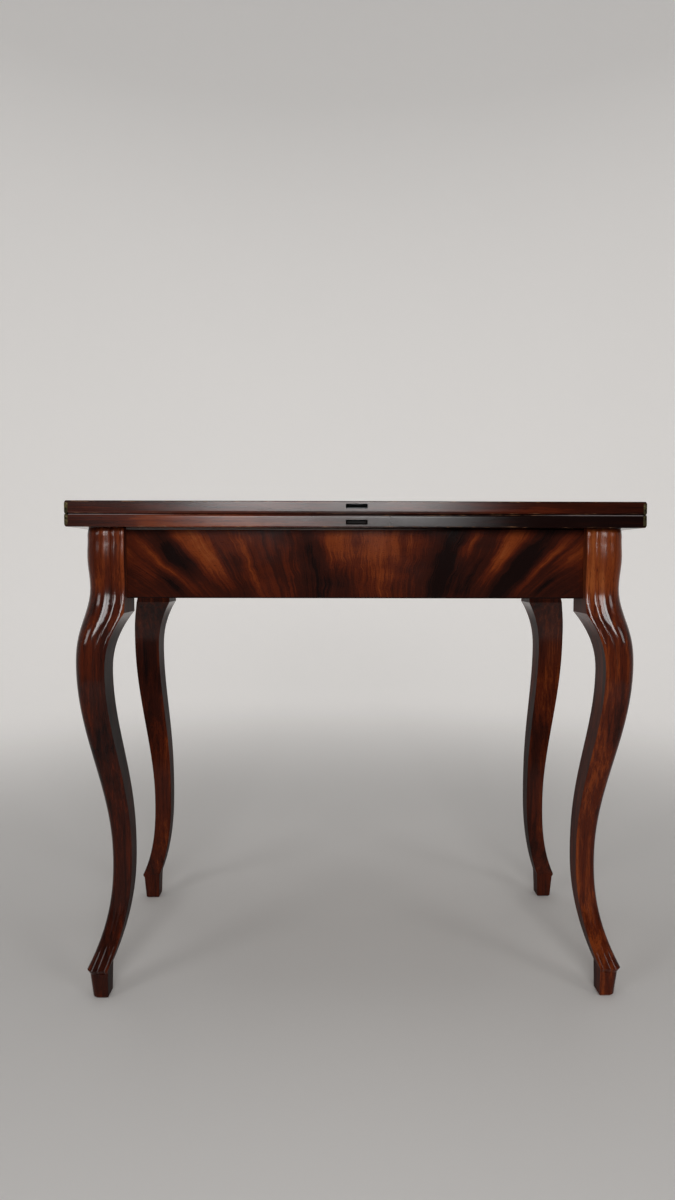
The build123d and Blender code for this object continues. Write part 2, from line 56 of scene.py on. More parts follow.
# Stage: a round floor that curves up into a wall behind the table and at its sides
wall_radius = 3.4
cove_radius = 1.1
wall_height = 4.2
wall_half_turn = 112
stage_sides = 72
cove_steps = 8

# A fade has the value at which it starts, the one at which it ends, and what it goes from and to;
# without the last two it goes from 0 to 1

# Paint of the stage: a slow mottle, and a glow that grows with the distance from the table
floor_colour = (0.74, 0.72, 0.70)
wall_mottle = (0.66, 0.64, 0.62)
mottle_cells = 1.3
mottle_fade = (0.3, 0.7, 0, 0.05)
paint_roughness = 0.9
paint_shine = 0.1
wall_glow = 0.50
glow_distance_fade = (0.6, 2.5)
glow_behind_fade = (0.1, 0.8, 0.25, 1)
least_distance = 0.1

# Lamps: name, place, what it faces, width, height, radiance, and angle of spread in degrees
open_spread = 180
lamps = (
    ("window_pane_left", (-0.36, -2.68, 1.27), (-0.25, 0, 0.5), 0.62, 0.66, 18, 90),
    ("window_pane_right", (0.34, -2.68, 1.27), (0.25, 0, 0.5), 0.62, 0.66, 18, 90),
    ("window_far_left", (-2.6, -2.55, 1.45), (-0.3, 0, 0.55), 1.0, 0.70, 8, 90),
    ("window_far_right", (2.5, -2.55, 1.45), (0.3, 0, 0.55), 0.9, 0.70, 7, 90),
    ("overhead", (0, 0.2, 3.6), (0, 0, 0), 3.0, 3.0, 1.1, open_spread),
)
air_strength = 0.09

# Places read from the frame
upper_low, upper_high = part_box("upper_leaf")
lower_low, lower_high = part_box("lower_leaf")
frieze_low, frieze_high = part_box("veneer_front")
hinge_edge = lower_low.y
frieze_middle = (frieze_low.z + frieze_high.z) / 2

# Polish: shine is the reflection's level, haze and dullness are added roughness,
# and a gloss is the roughness of clean polish and of smeared polish
polish_index = 1.5
polish_shine = 0.28
leaf_shine = 0.44
dark_end_shine = 0.03
dark_end_start = 0.06
dark_end_full = 0.27
flame_shine = 0.17
pore_along = 80
pore_across = 1400
pore_fade = (0.58, 0.70)
pore_depth = 0.00002
pore_strength = 0.08
smear_depth = 0.0001
smear_strength = 0.04
smear_along = 9
smear_across = 22
smear_low = 0.3
smear_high = 0.75
leg_gloss = (0.06, 0.12)
leaf_gloss = (0.09, 0.17)
flame_gloss = (0.09, 0.14)

# Legs: stiles above, worn polish below the knee, stained faces inside; heights in metres
leg_levels = {
    "leg_front_left": 0.45,
    "leg_front_right": 0.58,
    "leg_back_left": 0.44,
    "leg_back_right": 0.46,
}
leg_grain_step = (0.37, 0.11, 0)
leg_contrast = 1.0
leg_pore_shade = 0.6
facing_start = 0.80
facing_full = 0.96
inner_darkening = 0.14
inner_dullness = 0.5
inner_front_haze = 0.08
stile_low = 0.600
stile_high = 0.640
stile_haze = 0.11
stile_lift = 0.20
stile_shine = 0.18
knee_low = 0.44
knee_high = 0.51
low_leg_shine = 0.12

# Leaves: metres from the hinge edge, from the arrises and from the middle of the mortise;
# shades are lightness by the share of the leaf's length
upper_grain_shift = (0, 0, 0.4)
lower_grain_shift = (0.7, 0, 0)
upper_shades = ((0.0, 0.42), (0.1, 0.48), (0.45, 0.48), (0.7, 0.40), (0.9, 0.30), (1.0, 0.26))
lower_shades = (
    (0.0, 0.34),
    (0.08, 0.42),
    (0.14, 0.64),
    (0.3, 0.62),
    (0.45, 0.46),
    (0.55, 0.20),
    (0.8, 0.08),
    (1.0, 0.12),
)
leaf_contrast = 0.85
leaf_pore_shade = 0.5
edge_start = 0.0006
edge_end = 0.004
edge_haze = 0.07
chip_cells = (60, 500, 500)
chip_low = 0.56
chip_high = 0.64
chip_arris_start = 0.0004
chip_arris_end = 0.0026
chip_amount = 0.75
rubbed_start = 0.02
rubbed_end = 0.07
rubbed_amount = 0.35
# The inside of each mortise is painted near black as painted shade
mortise_side_start = 0.0160
mortise_side_end = 0.0165
slot_start = 0.0003
slot_full = 0.0025
slot_reach = 0.040
slot_end = 0.041
slot_margin_low = 0.001
slot_margin_high = 0.002
# Painted highlight: a pale line along the upper arris of the lower leaf, near its ends
line_arris_start = 0.0009
line_arris_end = 0.0019
line_aside_start = 0.24
line_aside_full = 0.34
upper_line_amount = 0
lower_line_amount = 0.7

# Frieze: heights are metres from its middle or from its edges
flame_level = 0.44
flame_right_drop = 0.04
flame_left_end = -0.15
flame_right_end = 0.10
figure_full_reach = 0.30
figure_power = 1.6
figure_lean = 1.15
figure_passes = 2
warp_stretch = (1, 1, 1.6)
warp_cells = 22
warp_amount = 0.016
# Painted light and shade: the frieze gets lighter towards its top and darker towards its bottom
flame_rise = 0.044
flame_bottom_shade = -0.08
flame_top_light = 0.05
flame_cloud_along = 16
flame_cloud_across = 30
flame_cloud_amount = 0.40
flame_smear_cells = 14
fleck_along = 300
fleck_across = 900
fleck_fade = (0.52, 0.72, 0, 0.45)
# Darker along the bottom edge of the frieze
bottom_dark_start = 0.0008
bottom_dark_end = 0.0024
bottom_dark_amount = 0.8
# Painted highlight: a pale line along the frieze's top, for light caught on its rounded top arris
top_highlight_low = 0.0021
top_highlight_high = 0.0013
top_highlight_amount = 0.95
top_highlight_left = -0.05
top_highlight_right = 0.16
top_arris = 0.0016

# Raw wood: cells per metre along and across the grain, and of the stain
pine_roughness = 0.6
beech_roughness = 0.5
ring_along = 2.2
ring_across = 45
fibre_along = 16
fibre_across = 600
fibre_amount = 0.35
raw_dark_stop = 0.25
raw_light_stop = 0.75
stain_cells = 11
stain_fade = (0.5, 0.8, 0, 0.5)
raw_haze_start = 0.3
raw_haze_end = 0.7
raw_haze = 0.15
raw_shine = 0.12
raw_depth = 0.0003
raw_strength = 0.6

# Baize: short matted fibres over a fine twill, in cells per metre
fluff_cells = (1400, 1400, 400)
fluff_share = 0.6
thread_cells = (260, 900, 260)
thread_share = 0.4
cloth_fade = (0.32, 0.68)
worn_cells = 7
worn_fade = (0.42, 0.72, 0, 0.55)
worn_roughness_fade = (0.3, 0.7, 0.98, 0.86)
lint_cells = 320
lint_fade = (0.70, 0.76, 0, 0.5)
cloth_shine = 0.2
cloth_sheen = 0.35
cloth_sheen_roughness = 0.5
cloth_depth = 0.0004
cloth_strength = 0.6

# Felt: a grid whose blocks of a few squares each share one shallow dent; spare dents are drawn, not used
felt_columns = 96
felt_rows = 48
felt_corner = 0.006
felt_seed = 31
felt_clearance = 0.00002
felt_edge_drop = 0.00025
felt_dent = 0.00008
dent_squares = 4
spare_dents = 3

# Colours
wood_black = (0.0065, 0.0022, 0.0018)
wood_dark = (0.028, 0.0055, 0.0028)
wood_red = (0.066, 0.0105, 0.0034)
wood_orange = (0.155, 0.029, 0.0060)
wood_bright = (0.24, 0.060, 0.014)
worn_wood = (0.34, 0.17, 0.085)
rubbed_polish = (0.075, 0.055, 0.052)
# Pale colour of the painted highlight along the leaf's arris
arris_highlight_colour = (0.36, 0.31, 0.31)
# Pale colour of the painted highlight along the frieze's top
frieze_top_highlight = (0.70, 0.62, 0.60)
# Near black: painted shade inside the mortises and on the tongue, and the darker bottom edge of the frieze
grime_and_painted_shade = (0.004, 0.003, 0.003)
pine_dark = (0.26, 0.145, 0.062)
pine_light = (0.50, 0.33, 0.165)
beech_dark = (0.22, 0.115, 0.055)
beech_light = (0.40, 0.25, 0.135)
brass_bright = (0.36, 0.29, 0.16)
brass_dull = (0.060, 0.046, 0.020)
brass_green = (0.034, 0.029, 0.016)
iron_dark = (0.030, 0.027, 0.025)
iron_rust = (0.075, 0.036, 0.020)
baize_dark = (0.012, 0.052, 0.024)
baize_light = (0.030, 0.115, 0.052)
baize_worn = (0.055, 0.12, 0.055)
lint = (0.20, 0.24, 0.18)
wood_stops = (
    (0.10, wood_black),
    (0.34, wood_dark),
    (0.52, wood_red),
    (0.72, wood_orange),
    (0.95, wood_bright),
)
brass_stops = ((0.42, brass_green), (0.58, brass_dull), (0.72, brass_bright))
iron_stops = ((0.45, iron_dark), (0.68, iron_rust))

# Layers of straight grain: cells per metre along and across it, detail, roughness, distortion and amount
straight_layers = (
    (1.5, 24, 2, 0.5, 0.1, 0.75),
    (4, 130, 3, 0.6, 0, 0.8),
    (22, 700, 2, 0.6, 0, 0.3),
    (7, 9, 2, 0.55, 0, 0.35),
)

# Layers of the flame: cells per metre across its lines, cells per metre up the frieze, and amount
flame_layers = ((40, 10, 0.26), (150, 9, 0.40), (600, 26, 0.40))
flame_along = 3

# Sockets of a colour mix by number, because they share their names with those of other kinds
mix_share = 0
mix_first = 6
mix_second = 7
mix_result = 2


def new_material(name):
    material = bpy.data.materials.new(name)
    material.use_nodes = True
    tree = material.node_tree
    tree.nodes.clear()
    output = tree.nodes.new("ShaderNodeOutputMaterial")
    shader = tree.nodes.new("ShaderNodeBsdfPrincipled")
    tree.links.new(shader.outputs["BSDF"], output.inputs["Surface"])
    return material, tree, shader


def set_input(tree, socket, value):
    if isinstance(value, bpy.types.NodeSocket):
        tree.links.new(value, socket)
    elif isinstance(value, tuple) and len(value) == 3 and socket.type == "RGBA":
        socket.default_value = (*value, 1)
    else:
        socket.default_value = value


def object_point(tree):
    return tree.nodes.new("ShaderNodeTexCoord").outputs["Object"]


def stretched(tree, point, scale, offset=(0, 0, 0)):
    mapping = tree.nodes.new("ShaderNodeMapping")
    mapping.inputs["Scale"].default_value = scale
    mapping.inputs["Location"].default_value = offset
    tree.links.new(point, mapping.inputs["Vector"])
    return mapping.outputs["Vector"]


def shifted(tree, point, offset):
    return stretched(tree, point, (1, 1, 1), offset)


def noise(tree, point, scale=1, detail=3, roughness=0.55, distortion=0):
    texture = tree.nodes.new("ShaderNodeTexNoise")
    tree.links.new(point, texture.inputs["Vector"])
    texture.inputs["Scale"].default_value = scale
    texture.inputs["Detail"].default_value = detail
    texture.inputs["Roughness"].default_value = roughness
    texture.inputs["Distortion"].default_value = distortion
    return texture.outputs["Fac"]


def calculate(tree, operation, *values, clamp=False):
    node = tree.nodes.new("ShaderNodeMath")
    node.operation = operation
    node.use_clamp = clamp
    for socket, value in zip(node.inputs, values):
        set_input(tree, socket, value)
    return node.outputs[0]


def spread(tree, value, low, high, to_low=0, to_high=1):
    node = tree.nodes.new("ShaderNodeMapRange")
    node.interpolation_type = "SMOOTHSTEP"
    set_input(tree, node.inputs["Value"], value)
    node.inputs["From Min"].default_value = low
    node.inputs["From Max"].default_value = high
    node.inputs["To Min"].default_value = to_low
    node.inputs["To Max"].default_value = to_high
    return node.outputs["Result"]


def spread_evenly(tree, value, low, high):
    node = tree.nodes.new("ShaderNodeMapRange")
    set_input(tree, node.inputs["Value"], value)
    node.inputs["From Min"].default_value = low
    node.inputs["From Max"].default_value = high
    return node.outputs["Result"]


def ramp(tree, value, stops):
    node = tree.nodes.new("ShaderNodeValToRGB")
    node.color_ramp.interpolation = "EASE"
    elements = node.color_ramp.elements
    while len(elements) < len(stops):
        elements.new(0.5)
    for element, (place, colour) in zip(elements, stops):
        element.position = place
        element.color = (*colour, 1)
    tree.links.new(value, node.inputs["Fac"])
    return node.outputs["Color"]


def mix(tree, share, first, second):
    node = tree.nodes.new("ShaderNodeMix")
    node.data_type = "RGBA"
    set_input(tree, node.inputs[mix_share], share)
    set_input(tree, node.inputs[mix_first], first)
    set_input(tree, node.inputs[mix_second], second)
    return node.outputs[mix_result]


def axes(tree, point):
    node = tree.nodes.new("ShaderNodeSeparateXYZ")
    tree.links.new(point, node.inputs["Vector"])
    return node.outputs["X"], node.outputs["Y"], node.outputs["Z"]


def combine(tree, x, y, z):
    node = tree.nodes.new("ShaderNodeCombineXYZ")
    for socket, value in zip(node.inputs, (x, y, z)):
        set_input(tree, socket, value)
    return node.outputs["Vector"]


def bump(tree, height, distance, strength, normal=None):
    node = tree.nodes.new("ShaderNodeBump")
    node.inputs["Strength"].default_value = strength
    node.inputs["Distance"].default_value = distance
    tree.links.new(height, node.inputs["Height"])
    if normal is not None:
        tree.links.new(normal, node.inputs["Normal"])
    return node.outputs["Normal"]


def along_axis(axis, along, across):
    return tuple(along if index == "XYZ".index(axis) else across for index in range(3))


def polish(tree, shader, colour, smear, pores, gloss, shine, shape=None):
    # French polish: glossy, with open pores and faint smears
    tree.links.new(colour, shader.inputs["Base Color"])
    tree.links.new(gloss, shader.inputs["Roughness"])
    shader.inputs["IOR"].default_value = polish_index
    set_input(tree, shader.inputs["Specular IOR Level"], shine)
    normal = bump(tree, pores, pore_depth, pore_strength)
    normal = bump(tree, smear, smear_depth, smear_strength, normal)
    if shape is not None:
        normal = bump(tree, shape, distance=1, strength=1, normal=normal)
    tree.links.new(normal, shader.inputs["Normal"])


def polish_smear(tree, point, axis):
    return noise(tree, stretched(tree, point, along_axis(axis, smear_along, smear_across)))


def polish_gloss(tree, smear, smooth, rough):
    return spread(tree, smear, smear_low, smear_high, smooth, rough)


def rounded_top(tree, height, top, radius):
    # Height of a worn, rounded arris below the top edge, as a quarter of a circle would have it
    share = calculate(tree, "DIVIDE", calculate(tree, "SUBTRACT", height, top - radius), radius, clamp=True)
    square = calculate(tree, "MULTIPLY", share, share)
    fall = calculate(tree, "SQRT", calculate(tree, "MAXIMUM", calculate(tree, "SUBTRACT", 1.0, square), 0.0))
    return calculate(tree, "MULTIPLY", fall, radius)


def wood_pores(tree, point, axis):
    # Short dark ticks along the grain
    cells = stretched(tree, point, along_axis(axis, pore_along, pore_across))
    return spread(tree, noise(tree, cells, detail=1, roughness=0.4), *pore_fade)


def centred(tree, value, amount):
    # A share from nought to one as a swing of plus or minus half the amount
    return calculate(tree, "MULTIPLY_ADD", value, amount, -amount / 2)


def straight_grain(tree, point, axis, contrast):
    # Ribbon bands, streaks and fine fibres that run along the piece
    value = None
    for along, across, detail, roughness, distortion, amount in straight_layers:
        cells = stretched(tree, point, along_axis(axis, along, across))
        layer = noise(tree, cells, 1, detail, roughness, distortion)
        swing = centred(tree, layer, amount * contrast)
        value = swing if value is None else calculate(tree, "ADD", value, swing)
    return value


def leg_wood(name, offset, level, inward_x, inward_y):
    # Polished outside; the two flat faces towards the middle of the table are only stained
    material, tree, shader = new_material(name)
    place = object_point(tree)
    point = shifted(tree, place, offset)
    height = axes(tree, place)[2]
    stile = spread(tree, height, stile_low, stile_high)
    facing = axes(tree, tree.nodes.new("ShaderNodeTexCoord").outputs["Normal"])
    inner_side = spread(tree, calculate(tree, "MULTIPLY", facing[0], inward_x), facing_start, facing_full)
    inner_front = spread(tree, calculate(tree, "MULTIPLY", facing[1], inward_y), facing_start, facing_full)
    value = calculate(tree, "ADD", straight_grain(tree, point, "Z", leg_contrast), level)
    darkening = calculate(tree, "MULTIPLY", inner_side, inner_darkening)
    value = calculate(tree, "SUBTRACT", value, darkening)
    value = calculate(tree, "MULTIPLY_ADD", stile, stile_lift, value)
    colour = ramp(tree, value, wood_stops)
    pores = wood_pores(tree, point, "Z")
    colour = mix(tree, calculate(tree, "MULTIPLY", pores, leg_pore_shade), colour, wood_black)
    smear = polish_smear(tree, point, "Z")
    gloss = polish_gloss(tree, smear, *leg_gloss)
    gloss = calculate(tree, "MULTIPLY_ADD", inner_side, inner_dullness, gloss)
    gloss = calculate(tree, "MULTIPLY_ADD", inner_front, inner_front_haze, gloss)
    gloss = calculate(tree, "MULTIPLY_ADD", stile, stile_haze, gloss)
    shine = spread(tree, height, knee_low, knee_high, low_leg_shine, polish_shine)
    dulled = calculate(tree, "MULTIPLY", stile, polish_shine - stile_shine)
    shine = calculate(tree, "SUBTRACT", shine, dulled)
    polish(tree, shader, colour, smear, pores, gloss, shine)
    return material


def mortise_shade_mask(tree, from_edge, within):
    # Mask of the painted shade: nought on the hinge edge itself, one a little way inside a leaf's mortise
    depth = spread(tree, from_edge, slot_start, slot_full)
    reach = spread(tree, from_edge, slot_reach, slot_end, 1, 0)
    margin = spread(tree, within, slot_margin_low, slot_margin_high)
    return calculate(tree, "MULTIPLY", calculate(tree, "MULTIPLY", depth, reach), margin)


def chip_arris(tree, colour, place, within, near_edge):
    # Wear along the outer arrises, in short chipped lengths
    chips = noise(tree, stretched(tree, place, chip_cells), detail=4, roughness=0.7)
    near_arris = spread(tree, within, chip_arris_start, chip_arris_end, 1, 0)
    edge = calculate(tree, "MULTIPLY", near_arris, near_edge)
    worn = calculate(tree, "MULTIPLY", spread(tree, chips, chip_low, chip_high), edge)
    return mix(tree, calculate(tree, "MULTIPLY", worn, chip_amount), colour, worn_wood)


def dress_mortise(tree, colour, aside, near_edge, depth):
    # Rubbed, greyer polish round the mortise, and painted shade inside it, made near black for the shade in
    # the slot
    rubbed = calculate(tree, "MULTIPLY", spread(tree, aside, rubbed_start, rubbed_end, 1, 0), near_edge)
    colour = mix(tree, calculate(tree, "MULTIPLY", rubbed, rubbed_amount), colour, rubbed_polish)
    inside = spread(tree, aside, mortise_side_start, mortise_side_end, 1, 0)
    return mix(tree, calculate(tree, "MULTIPLY", inside, depth), colour, grime_and_painted_shade)


def paint_arris_highlight(tree, colour, below_top, aside, near_edge, amount):
    # Painted highlight: a pale line along the upper arris, near the ends of the leaf, for the light that the
    # arris catches
    arris = spread(tree, below_top, line_arris_start, line_arris_end, amount, 0)
    ends = spread(tree, aside, line_aside_start, line_aside_full)
    arris = calculate(tree, "MULTIPLY", arris, calculate(tree, "MULTIPLY", near_edge, ends))
    return mix(tree, arris, colour, arris_highlight_colour)


def leaf_wood(name, offset, shade_stops, low, high, line_amount):
    # Grain along the leaf, with the shade of the hinge edge changing along its length
    material, tree, shader = new_material(name)
    place = object_point(tree)
    point = shifted(tree, place, offset)
    x, y, z = axes(tree, place)
    share = spread_evenly(tree, x, low.x, high.x)
    shade = ramp(tree, share, [(stop, (level,) * 3) for stop, level in shade_stops])
    value = calculate(tree, "ADD", straight_grain(tree, point, "X", leaf_contrast), shade)
    colour = ramp(tree, value, wood_stops)
    pores = wood_pores(tree, point, "X")
    colour = mix(tree, calculate(tree, "MULTIPLY", pores, leaf_pore_shade), colour, wood_black)
    below_top = calculate(tree, "SUBTRACT", high.z, z)
    within = calculate(tree, "MINIMUM", below_top, calculate(tree, "SUBTRACT", z, low.z))
    from_edge = calculate(tree, "SUBTRACT", y, hinge_edge)
    near_edge = spread(tree, from_edge, edge_start, edge_end, 1, 0)
    aside = calculate(tree, "ABSOLUTE", x)
    colour = chip_arris(tree, colour, place, within, near_edge)
    colour = dress_mortise(tree, colour, aside, near_edge, mortise_shade_mask(tree, from_edge, within))
    colour = paint_arris_highlight(tree, colour, below_top, aside, near_edge, line_amount)
    smear = polish_smear(tree, point, "X")
    gloss = polish_gloss(tree, smear, *leaf_gloss)
    gloss = calculate(tree, "MULTIPLY_ADD", near_edge, edge_haze, gloss)
    shine = spread(tree, x, dark_end_start, dark_end_full, leaf_shine, dark_end_shine)
    polish(tree, shader, colour, smear, pores, gloss, shine)
    return material


# Marks of the flame figure, each one a soft patch: place along the frieze, half width,
# height above the frieze's middle, half height, and change of lightness
front_marks = (
    (-0.326, 0.026, 0.010, 0.09, 0.14),
    (-0.316, 0.020, -0.034, 0.034, -0.26),
    (-0.290, 0.022, -0.010, 0.07, 0.25),
    (-0.262, 0.034, 0.014, 0.056, -0.42),
    (-0.222, 0.034, 0.020, 0.08, 0.34),
    (-0.162, 0.013, 0.000, 0.07, 0.24),
    (-0.066, 0.040, 0.000, 0.12, -0.24),
    (-0.030, 0.040, 0.030, 0.06, 0.32),
    (-0.028, 0.044, -0.032, 0.05, -0.16),
    (0.036, 0.070, 0.000, 0.12, 0.26),
    (0.132, 0.030, 0.000, 0.12, -0.36),
    (0.176, 0.050, 0.000, 0.12, -0.14),
    (0.163, 0.012, 0.032, 0.034, 0.34),
    (0.216, 0.030, 0.016, 0.07, 0.36),
    (0.252, 0.036, 0.000, 0.12, -0.36),
    (0.284, 0.014, -0.004, 0.07, 0.34),
    (0.322, 0.030, 0.012, 0.08, 0.16),
    (0.328, 0.016, -0.032, 0.026, -0.24),
)
side_marks = (
    (-0.140, 0.040, 0.000, 0.12, -0.34),
    (-0.105, 0.028, 0.012, 0.09, 0.32),
    (-0.050, 0.035, 0.000, 0.12, -0.22),
    (0.000, 0.042, 0.000, 0.12, 0.26),
    (0.052, 0.030, -0.010, 0.08, -0.26),
    (0.104, 0.026, 0.012, 0.07, 0.34),
    (0.138, 0.036, 0.000, 0.12, -0.32),
)


def figure_slant(tree, outward):
    # The plumes stand upright in the middle and lean over more and more towards the ends
    share = calculate(tree, "DIVIDE", outward, figure_full_reach)
    return calculate(tree, "MULTIPLY", calculate(tree, "POWER", share, figure_power), figure_lean)


def figure_line(tree, outward, rise):
    # Follows the slanting figure down to the level of the frieze's middle
    line = outward
    for _ in range(figure_passes):
        slope = figure_slant(tree, calculate(tree, "MAXIMUM", line, 0.0))
        line = calculate(tree, "SUBTRACT", outward, calculate(tree, "MULTIPLY", slope, rise))
    return line


def soft_patch(tree, signed, rise, mark):
    centre, half_width, height, half_height, change = mark
    away = calculate(tree, "ABSOLUTE", calculate(tree, "SUBTRACT", signed, centre))
    above = calculate(tree, "ABSOLUTE", calculate(tree, "SUBTRACT", rise, height))
    level = spread(tree, above, 0, half_height, 1, 0)
    return calculate(tree, "MULTIPLY", spread(tree, away, 0, half_width, change, 0), level)


def flame_value(tree, point, run_axis, marks, along, rise):
    # Lightness of the crotch figure: its marks, painted light that makes it lighter towards the top and
    # darker towards the bottom, a slow cloud, and lines that follow its slant
    warp = noise(tree, stretched(tree, point, warp_stretch), warp_cells, detail=2)
    outward = calculate(tree, "ADD", calculate(tree, "ABSOLUTE", along), centred(tree, warp, warp_amount))
    line = figure_line(tree, outward, rise)
    signed = calculate(tree, "MULTIPLY", line, calculate(tree, "SIGN", along))
    right_level = flame_level - flame_right_drop
    value = spread(tree, signed, flame_left_end, flame_right_end, flame_level, right_level)
    for mark in marks:
        value = calculate(tree, "ADD", value, soft_patch(tree, signed, rise, mark))
    # Painted light and shade: lighter towards the top of the frieze, darker towards the bottom
    painted_top_light = spread(tree, rise, -flame_rise, flame_rise, flame_bottom_shade, flame_top_light)
    value = calculate(tree, "ADD", value, painted_top_light)
    cloud = noise(tree, stretched(tree, point, along_axis(run_axis, flame_cloud_along, flame_cloud_across)))
    value = calculate(tree, "ADD", value, centred(tree, cloud, flame_cloud_amount))
    for line_scale, rise_scale, amount in flame_layers:
        spot = combine(
            tree,
            calculate(tree, "MULTIPLY", line, line_scale),
            calculate(tree, "MULTIPLY", along, flame_along),
            calculate(tree, "MULTIPLY", rise, rise_scale),
        )
        lines = noise(tree, spot, roughness=0.6)
        value = calculate(tree, "ADD", value, centred(tree, lines, amount))
    return value


def flame_veneer(name, run_axis, marks, shift, mirror):
    # Crotch figure matched about the middle of the rail
    material, tree, shader = new_material(name)
    place = object_point(tree)
    point = shifted(tree, place, shift)
    x, y, z = axes(tree, place)
    along = calculate(tree, "MULTIPLY", x if run_axis == "X" else y, mirror)
    rise = calculate(tree, "SUBTRACT", z, frieze_middle)
    colour = ramp(tree, flame_value(tree, point, run_axis, marks, along, rise), wood_stops)
    pores = wood_pores(tree, point, run_axis)
    cells = stretched(tree, point, along_axis(run_axis, fleck_along, fleck_across))
    flecks = noise(tree, cells, detail=2, roughness=0.6)
    colour = mix(tree, spread(tree, flecks, *fleck_fade), colour, wood_black)
    # Darker along the bottom edge of the veneer, and a painted highlight along its top: a pale line that
    # fades to the right, for the light caught on the rounded top arris
    bottom_dark = spread(tree, z, frieze_low.z + bottom_dark_start, frieze_low.z + bottom_dark_end, bottom_dark_amount, 0)
    colour = mix(tree, bottom_dark, colour, grime_and_painted_shade)
    top_highlight = spread(tree, z, frieze_high.z - top_highlight_low, frieze_high.z - top_highlight_high)
    highlight_fading = spread(tree, along, top_highlight_left, top_highlight_right, top_highlight_amount, 0)
    colour = mix(tree, calculate(tree, "MULTIPLY", top_highlight, highlight_fading), colour, frieze_top_highlight)
    smear = noise(tree, point, flame_smear_cells)
    gloss = polish_gloss(tree, smear, *flame_gloss)
    shape = rounded_top(tree, z, frieze_high.z, top_arris)
    polish(tree, shader, colour, smear, pores, gloss, flame_shine, shape)
    return material


def raw_wood(name, axis, dark, light, roughness):
    # Unpolished wood, stained in patches
    material, tree, shader = new_material(name)
    point = object_point(tree)
    cells = stretched(tree, point, along_axis(axis, ring_along, ring_across))
    rings = noise(tree, cells, roughness=0.5, distortion=0.8)
    fibres = noise(tree, stretched(tree, point, along_axis(axis, fibre_along, fibre_across)), detail=2)
    value = calculate(tree, "ADD", rings, centred(tree, fibres, fibre_amount))
    colour = ramp(tree, value, ((raw_dark_stop, dark), (raw_light_stop, light)))
    stain = noise(tree, point, stain_cells, detail=4)
    colour = mix(tree, spread(tree, stain, *stain_fade), colour, dark)
    tree.links.new(colour, shader.inputs["Base Color"])
    gloss = spread(tree, fibres, raw_haze_start, raw_haze_end, roughness, roughness + raw_haze)
    tree.links.new(gloss, shader.inputs["Roughness"])
    shader.inputs["Specular IOR Level"].default_value = raw_shine
    tree.links.new(bump(tree, fibres, raw_depth, raw_strength), shader.inputs["Normal"])
    return material


def old_metal(name, metallic, stops, cells, roughness_fade, pit_cells, pit_detail, pit_depth, pit_strength):
    # Blotches set the colour and the roughness, over a pitted surface
    material, tree, shader = new_material(name)
    point = object_point(tree)
    blotches = noise(tree, point, cells, detail=5, roughness=0.7)
    tree.links.new(ramp(tree, blotches, stops), shader.inputs["Base Color"])
    shader.inputs["Metallic"].default_value = metallic
    tree.links.new(spread(tree, blotches, *roughness_fade), shader.inputs["Roughness"])
    pits = noise(tree, point, pit_cells, pit_detail)
    tree.links.new(bump(tree, pits, pit_depth, pit_strength), shader.inputs["Normal"])
    return material


def old_brass():
    return old_metal(
        "old_brass",
        metallic=1,
        stops=brass_stops,
        cells=160,
        roughness_fade=(0.35, 0.7, 0.62, 0.3),
        pit_cells=700,
        pit_detail=3,
        pit_depth=0.0002,
        pit_strength=0.5,
    )


def dark_iron():
    return old_metal(
        "dark_iron",
        metallic=0.8,
        stops=iron_stops,
        cells=130,
        roughness_fade=(0.4, 0.7, 0.42, 0.75),
        pit_cells=500,
        pit_detail=4,
        pit_depth=0.0003,
        pit_strength=0.6,
    )


def green_baize():
    # Wool cloth: short matted fibres, a fine twill under them, worn patches and specks of lint
    material, tree, shader = new_material("green_baize")
    point = object_point(tree)
    fluff = noise(tree, stretched(tree, point, fluff_cells), detail=4, roughness=0.7)
    threads = noise(tree, stretched(tree, point, thread_cells), detail=2, roughness=0.6)
    wear = noise(tree, point, worn_cells, detail=5, roughness=0.6)
    fluffy = calculate(tree, "MULTIPLY", fluff, fluff_share)
    value = calculate(tree, "ADD", fluffy, calculate(tree, "MULTIPLY", threads, thread_share))
    colour = mix(tree, spread(tree, value, *cloth_fade), baize_dark, baize_light)
    colour = mix(tree, spread(tree, wear, *worn_fade), colour, baize_worn)
    specks = noise(tree, point, lint_cells, detail=2)
    colour = mix(tree, spread(tree, specks, *lint_fade), colour, lint)
    tree.links.new(colour, shader.inputs["Base Color"])
    tree.links.new(spread(tree, wear, *worn_roughness_fade), shader.inputs["Roughness"])
    shader.inputs["Specular IOR Level"].default_value = cloth_shine
    shader.inputs["Sheen Weight"].default_value = cloth_sheen
    shader.inputs["Sheen Roughness"].default_value = cloth_sheen_roughness
    tree.links.new(bump(tree, value, cloth_depth, cloth_strength), shader.inputs["Normal"])
    return material


def add_object(name, data):
    holder = bpy.data.objects.new(name, data)
    bpy.context.scene.collection.objects.link(holder)
    return holder


def add_mesh(name, points, faces, material):
    mesh = bpy.data.meshes.new(name)
    mesh.from_pydata(points, [], faces)
    mesh.shade_smooth()
    mesh.materials.append(material)
    return add_object(name, mesh)


def rounded_place(low, high, share_x, share_y):
    # A point of the cloth's grid, drawn in to the cloth's rounded corners
    middle = (low + high) / 2
    x = low.x + (high.x - low.x) * share_x - middle.x
    y = low.y + (high.y - low.y) * share_y - middle.y
    inner_x = (high.x - low.x) / 2 - felt_corner
    inner_y = (high.y - low.y) / 2 - felt_corner
    over_x = abs(x) - inner_x
    over_y = abs(y) - inner_y
    reach = math.hypot(max(over_x, 0), max(over_y, 0))
    if over_x > 0 and over_y > 0 and reach > felt_corner:
        x = math.copysign(inner_x + over_x * felt_corner / reach, x)
        y = math.copysign(inner_y + over_y * felt_corner / reach, y)
    return middle.x + x, middle.y + y


